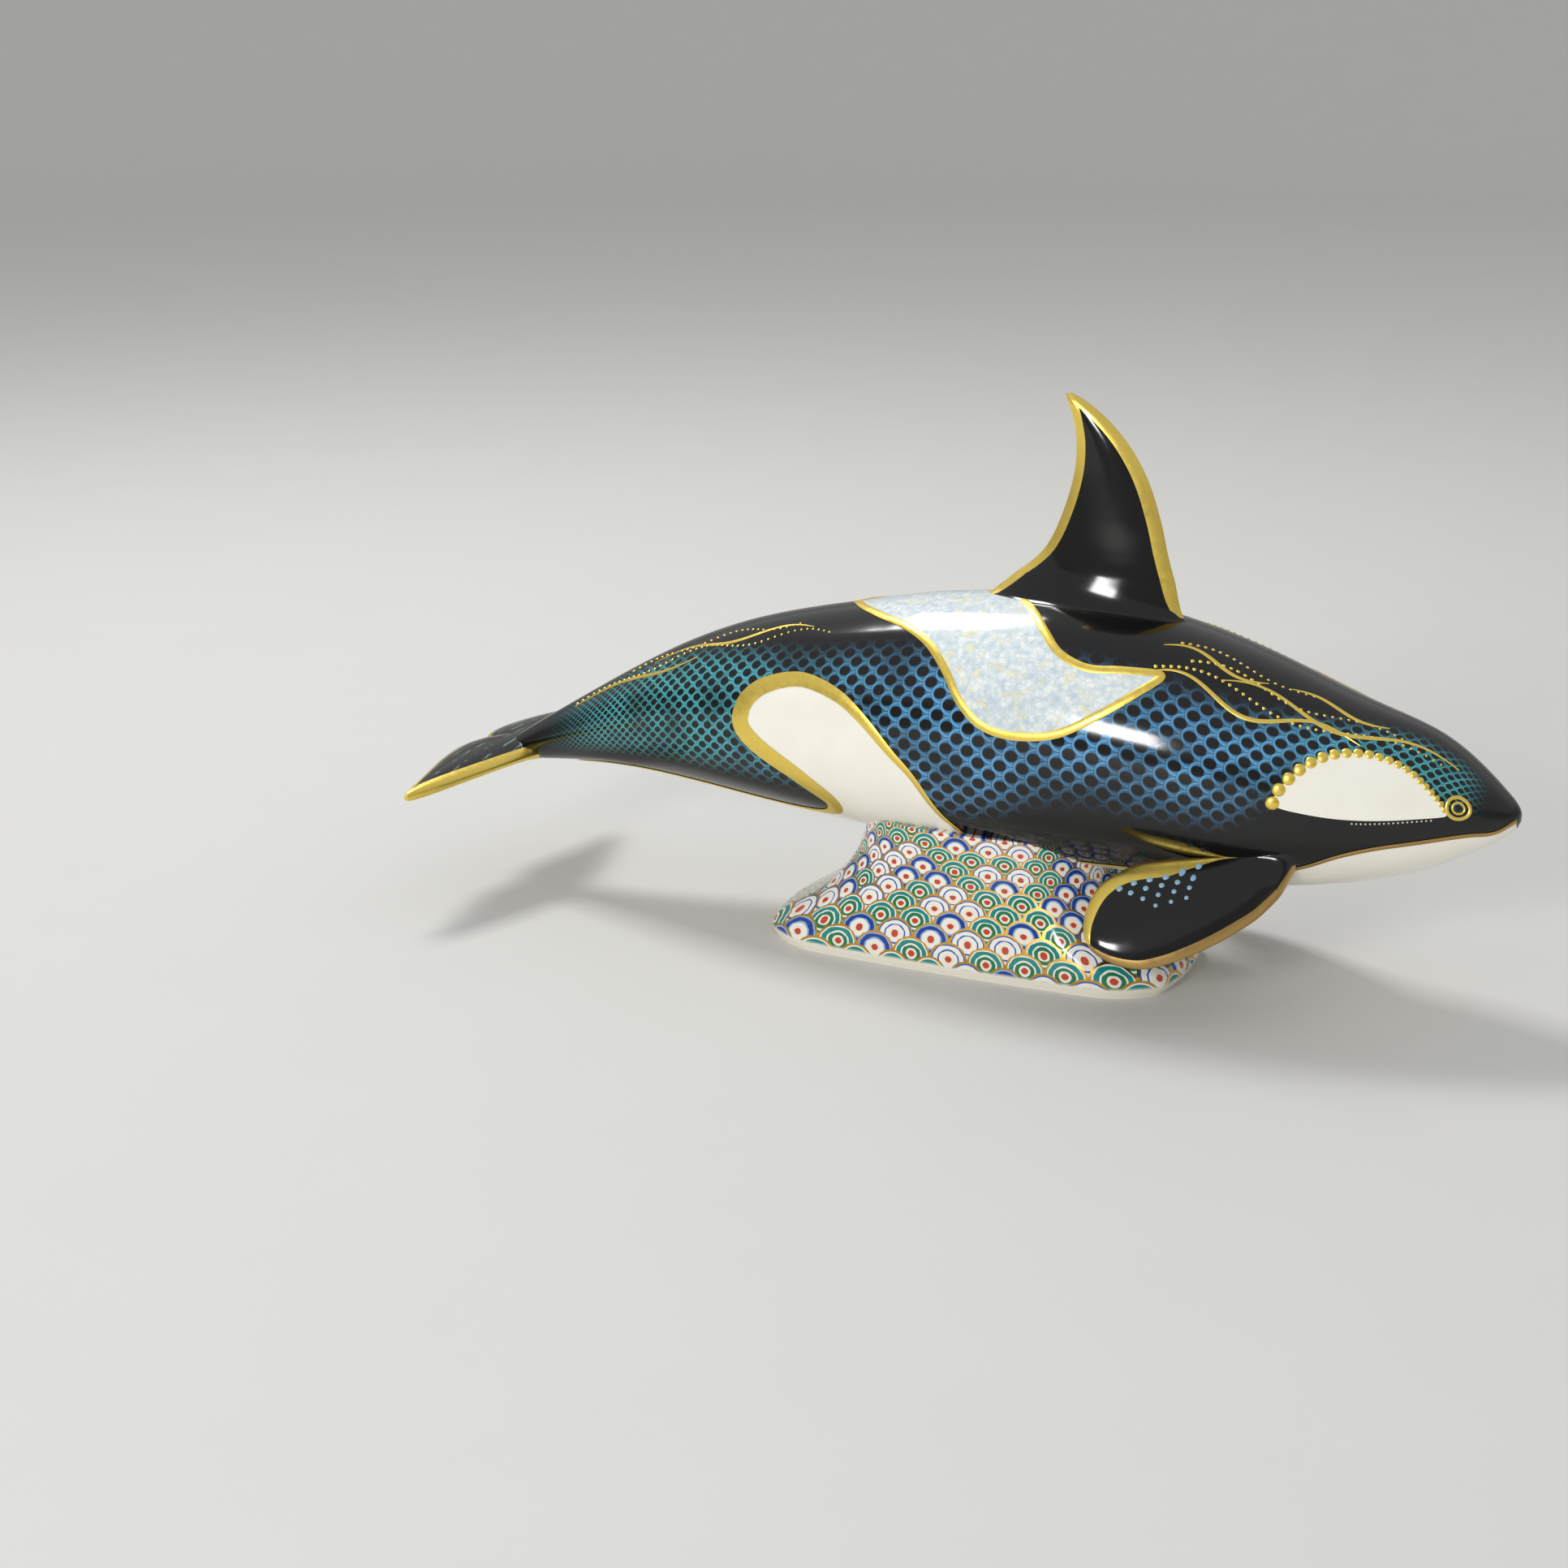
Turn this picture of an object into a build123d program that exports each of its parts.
from build123d import *
import math
import os

# Orca figurine in slip-cast china, standing on a hollow wave-shaped base
# X points to the nose, Y to the whale's left, Z up
# The origin is on the surface that it stands on, halfway between the nose and the flukes
# All lengths are millimetres

# Body
body_length = 214.0
body_height = 53.0
body_width = 49.6
nose_reach = 111.9
belly_height = 21.4
wall = 3.0

# Base
base_forward = 7.9
foot_length = 87.0
foot_width = 42.0
nest_depth = 7.0
foot_ring_width = 4.0
underside_recess = 2.2
floor_thickness = 3.0
roof_thickness = 3.2

# Dorsal fin
fin_height = 39.2
fin_chord = 37.5
fin_thickness = 7.2
fin_root_depth = 5.0

# Flippers
flipper_length = 36.5
flipper_chord = 19.6
flipper_thickness = 5.0
flipper_root_depth = 7.0
flipper_seat_depth = 1.3

# Tail flukes
fluke_span = 76.0
fluke_chord = 18.5
fluke_thickness = 5.4
fluke_seat = 8.6
fluke_droop = 1.8

# Vent, filling hole and stopper
vent_diameter = 8.0
hole_diameter = 12.0
stopper_clearance = 0.06
stopper_stem = 6.0
stopper_lip = 1.6
stopper_flange = 1.2
stopper_wall = 1.5
overrun = 1.0

# Each row: place along the body, crest, keel, width, as shares of the body's sizes
body_shares = [
    (0.000, 0.170, 0.098, 0.133),
    (0.056, 0.317, 0.109, 0.226),
    (0.122, 0.483, 0.128, 0.363),
    (0.196, 0.651, 0.117, 0.548),
    (0.280, 0.789, 0.083, 0.718),
    (0.374, 0.883, 0.045, 0.859),
    (0.477, 0.964, 0.017, 0.956),
    (0.584, 1.000, 0.000, 1.000),
    (0.692, 0.945, 0.000, 0.984),
    (0.785, 0.834, 0.013, 0.871),
    (0.869, 0.709, 0.072, 0.685),
    (0.930, 0.623, 0.155, 0.484),
    (0.967, 0.519, 0.238, 0.323),
    (0.988, 0.442, 0.294, 0.194),
    (0.997, 0.404, 0.330, 0.097),
    (1.000, 0.374, 0.358, 0.016),
]
cavity_end_shares = (0.15, 0.96)

# Each row: height, front reach, rear reach, half width, as shares of the base's sizes
base_shares = [
    (0.00, 0.975, 0.975, 0.965),
    (0.06, 1.000, 1.000, 1.000),
    (0.14, 0.985, 0.985, 1.000),
    (0.23, 0.910, 0.905, 0.990),
    (0.34, 0.810, 0.795, 0.965),
    (0.47, 0.725, 0.695, 0.930),
    (0.62, 0.660, 0.615, 0.895),
    (0.80, 0.615, 0.560, 0.865),
    (1.00, 0.590, 0.530, 0.850),
]
# How square each level's outline is, where 2 is an ellipse
foot_squareness = 4.2
neck_squareness = 2.6

# Each row: height, trailing edge, leading edge, thickness, as shares of the fin's sizes
fin_place_share = 0.605
fin_shares = [
    (0.000, -0.627, 0.573, 2.60),
    (0.061, -0.587, 0.547, 2.10),
    (0.113, -0.507, 0.517, 1.65),
    (0.152, -0.419, 0.483, 1.32),
    (0.208, -0.323, 0.453, 1.12),
    (0.299, -0.227, 0.416, 1.00),
    (0.457, -0.147, 0.365, 0.88),
    (0.638, -0.093, 0.288, 0.75),
    (0.785, -0.085, 0.184, 0.64),
    (0.898, -0.109, 0.061, 0.52),
    (0.973, -0.139, -0.059, 0.38),
    (1.000, -0.149, -0.120, 0.18),
]

# Each row: place along the flipper, middle of the chord, chord, thickness, as shares
flipper_place_share = 0.799
flipper_height_share = 0.190
flipper_shares = [
    (0.000, 0.140, 0.420, 2.200),
    (0.070, 0.134, 0.430, 1.550),
    (0.150, 0.128, 0.490, 1.200),
    (0.300, 0.107, 0.684, 1.050),
    (0.420, 0.084, 0.791, 1.000),
    (0.550, 0.033, 0.903, 0.960),
    (0.685, -0.041, 1.000, 0.900),
    (0.770, -0.071, 0.990, 0.840),
    (0.850, -0.079, 0.883, 0.760),
    (0.935, -0.084, 0.597, 0.620),
    (0.980, -0.089, 0.327, 0.420),
    (1.000, -0.092, 0.120, 0.180),
]

# Each row: place along half the span, leading edge, trailing edge, droop, thickness, as shares
fluke_shares = [
    (0.000, -0.120, 0.855, 0.00, 1.00),
    (0.080, 0.000, 0.945, 0.00, 1.00),
    (0.210, 0.095, 0.995, 0.04, 0.97),
    (0.420, 0.205, 0.940, 0.15, 0.87),
    (0.630, 0.330, 0.840, 0.35, 0.73),
    (0.800, 0.450, 0.760, 0.60, 0.58),
    (0.910, 0.550, 0.715, 0.80, 0.45),
    (0.975, 0.620, 0.690, 0.95, 0.32),
    (1.000, 0.652, 0.675, 1.00, 0.15),
]

# The flipper's plane: where its span, its leading edge and its outer face point
flipper_span_direction = Vector(-0.758, -0.453, -0.469)
flipper_edge_direction = Vector(0.634, -0.347, -0.691)

# How many arcs draw a section
body_arcs = 4
base_arcs = 8
# The base's first rows make its foot band, and the body's rows here lie over the base
foot_rows = 3
saddle_rows = slice(5, 11)
# How thick a fin's rounded-off edges are, as a share of its thickest place
edge_share = 0.3
tail_x = nose_reach - body_length
base_top = belly_height + nest_depth


def oval(plane, half_length, half_width, arcs, squareness=2, start=0):
    """A closed outline of arcs, an ellipse at squareness 2 and squarer above."""
    points = []
    for k in range(2 * arcs):
        turn = math.pi * (k + start) / arcs
        x = math.copysign(abs(math.cos(turn)) ** (2 / squareness), math.cos(turn))
        y = math.copysign(abs(math.sin(turn)) ** (2 / squareness), math.sin(turn))
        points.append(plane.from_local_coords(Vector(half_length * x, half_width * y)))
    points.append(points[0])
    edges = [Edge.make_three_point_arc(*points[k : k + 3]) for k in range(0, 2 * arcs, 2)]
    return Face(Wire(edges))


def blade(plane, half_chord, half_thickness):
    """A lens of two arcs, blunt at the leading and the trailing edge."""
    edge = edge_share * half_thickness
    corners = [(half_chord, edge), (-half_chord, edge), (-half_chord, -edge), (half_chord, -edge)]
    front, back, under_back, under_front = [plane.from_local_coords(Vector(*c)) for c in corners]
    top = plane.from_local_coords(Vector(0, half_thickness))
    bottom = plane.from_local_coords(Vector(0, -half_thickness))
    edges = [
        Edge.make_three_point_arc(front, top, back),
        Edge.make_line(back, under_back),
        Edge.make_three_point_arc(under_back, bottom, under_front),
        Edge.make_line(under_front, front),
    ]
    return Face(Wire(edges))


def between(rows, along):
    """The row at a place that lies between two rows of a table."""
    for low, high in zip(rows, rows[1:]):
        if along <= high[0]:
            part = (along - low[0]) / (high[0] - low[0])
            return [a + part * (b - a) for a, b in zip(low, high)]
    return list(rows[-1])


def body_place(row):
    """Place along X, height of the axis, half height and half width of a body row."""
    along, crest, keel, width = row
    middle = belly_height + body_height * (crest + keel) / 2
    return tail_x + body_length * along, middle, body_height * (crest - keel) / 2, body_width * width / 2


def body_form(rows, grow=0, ruled=False):
    """The body's loft through its rows, grown or shrunk by a wall."""
    sections = []
    for row in rows:
        x, middle, half_height, half_width = body_place(row)
        plane = Plane(origin=(x, 0, middle), x_dir=(0, 1, 0), z_dir=(1, 0, 0))
        sections.append(oval(plane, half_width + grow, half_height + grow, body_arcs))
    return loft(sections, ruled=ruled)


def vent():
    """The round way from the body's cavity into the base's."""
    _, middle, half_height, _ = body_place(between(body_shares, (base_forward - tail_x) / body_length))
    depth = 2 * (wall + roof_thickness + overrun)
    return Pos(base_forward, 0, middle - half_height) * Cylinder(vent_diameter / 2, depth)


def body_cavity():
    """The hollow that the slip leaves, closed by blunt ends in the tail stock and the head."""
    first, last = cavity_end_shares
    inner = [row for row in body_shares if first < row[0] < last]
    rows = [between(body_shares, first)] + inner + [between(body_shares, last)]
    return body_form(rows, -wall, ruled=True)


def body_shell(body):
    return body - body_cavity() - vent()


def base_section(row, inset=0):
    """One level of the base, a squarish oval that gets rounder as it rises."""
    level, front, rear, width = row
    front_x = base_forward + foot_length / 2 * front - inset
    rear_x = base_forward - foot_length / 2 * rear + inset
    half_length = (front_x - rear_x) / 2
    half_width = foot_width / 2 * width - inset
    squareness = foot_squareness + (neck_squareness - foot_squareness) * level
    plane = Plane(origin=((front_x + rear_x) / 2, 0, base_top * level))
    return oval(plane, half_length, half_width, base_arcs, squareness, start=1)


def base_cavity():
    """The hollow between the floor, the walls and the roof under the belly."""
    floor_share = (underside_recess + floor_thickness) / base_top
    inner = [row for row in base_shares if row[0] > floor_share]
    rows = [between(base_shares, floor_share)] + inner
    hollow = loft([base_section(row, wall) for row in rows], ruled=True)
    return hollow - body_form(body_shares[saddle_rows], roof_thickness, ruled=True)


def foot_recess():
    """The unglazed ring's hollow underside."""
    return extrude(base_section(base_shares[0], foot_ring_width), underside_recess)


def wave_base(body):
    """A bevelled foot band under a flare that is hollowed out and cut to the belly."""
    levels = [base_section(row) for row in base_shares]
    base = loft(levels[:foot_rows], ruled=True) + loft(levels[foot_rows - 1 :])
    hole_depth = 2 * (floor_thickness + overrun)
    hole = Pos(base_forward, 0, underside_recess) * Cylinder(hole_diameter / 2, hole_depth)
    return base - body - base_cavity() - foot_recess() - hole - vent()


def dorsal_fin(body):
    """Upright fin with a hooked tip and a root that flares into the back."""
    x, middle, half_height, _ = body_place(between(body_shares, fin_place_share))
    root = middle + half_height - fin_root_depth
    rise = fin_height + fin_root_depth
    sections = []
    for height, trailing, leading, thickness in fin_shares:
        plane = Plane(origin=(x + fin_chord * (leading + trailing) / 2, 0, root + rise * height))
        half_chord = fin_chord * (leading - trailing) / 2
        sections.append(blade(plane, half_chord, fin_thickness * thickness / 2))
    return loft(sections) - body


def flipper_right(body):
    """Paddle that sweeps back, out and down from behind the head."""
    x, middle, half_height, half_width = body_place(between(body_shares, flipper_place_share))
    z = belly_height + body_height * flipper_height_share
    y = -half_width * math.sqrt(1 - ((z - middle) / half_height) ** 2) + flipper_seat_depth
    reach = flipper_length + flipper_root_depth
    start = Vector(x, y, z) - flipper_span_direction * flipper_root_depth
    sections = []
    for along, centre, chord, thickness in flipper_shares:
        place = start + flipper_span_direction * (reach * along)
        place += flipper_edge_direction * (flipper_chord * centre)
        plane = Plane(origin=place, x_dir=flipper_edge_direction, z_dir=flipper_span_direction)
        sections.append(blade(plane, flipper_chord * chord / 2, flipper_thickness * thickness / 2))
    return loft(sections) - body


def fluke_section(side, row):
    """One slice of the flukes at a place along the span, on the side of -Y or +Y."""
    along, leading, trailing, droop, thickness = row
    middle = body_place(body_shares[0])[1]
    x = tail_x + fluke_seat - fluke_chord * (leading + trailing) / 2
    place = (x, side * fluke_span / 2 * along, middle - fluke_droop * droop)
    plane = Plane(origin=place, x_dir=(1, 0, 0), z_dir=(0, 1, 0))
    half_chord = fluke_chord * (trailing - leading) / 2
    return blade(plane, half_chord, fluke_thickness * thickness / 2)


def tail_flukes(body):
    """Crescent tail with a shallow notch, socketed over the end of the tail stock."""
    sections = [fluke_section(-1, row) for row in reversed(fluke_shares[1:])]
    sections += [fluke_section(1, row) for row in fluke_shares]
    return loft(sections) - body


def stopper():
    """Push-in plug: a thin flange under the floor and a hollow stem in the hole."""
    stem_radius = hole_diameter / 2 - stopper_clearance
    flange = Cylinder(
        stem_radius + stopper_lip, stopper_flange, align=(Align.CENTER, Align.CENTER, Align.MAX)
    )
    stem = Cylinder(stem_radius, stopper_stem, align=(Align.CENTER, Align.CENTER, Align.MIN))
    bore = Pos(0, 0, stopper_wall - stopper_flange) * Cylinder(
        stem_radius - stopper_wall, stopper_stem, align=(Align.CENTER, Align.CENTER, Align.MIN)
    )
    return Pos(base_forward, 0, underside_recess) * (flange + stem - bore)


def main():
    os.makedirs("parts", exist_ok=True)
    body = body_form(body_shares)
    right = flipper_right(body)
    parts = {
        "body_shell": body_shell(body),
        "wave_base": wave_base(body),
        "dorsal_fin": dorsal_fin(body),
        "flipper_right": right,
        "flipper_left": mirror(right, about=Plane.XZ),
        "tail_flukes": tail_flukes(body),
        "stopper": stopper(),
    }
    for name, part in parts.items():
        export_step(part, f"parts/{name}.step")


main()
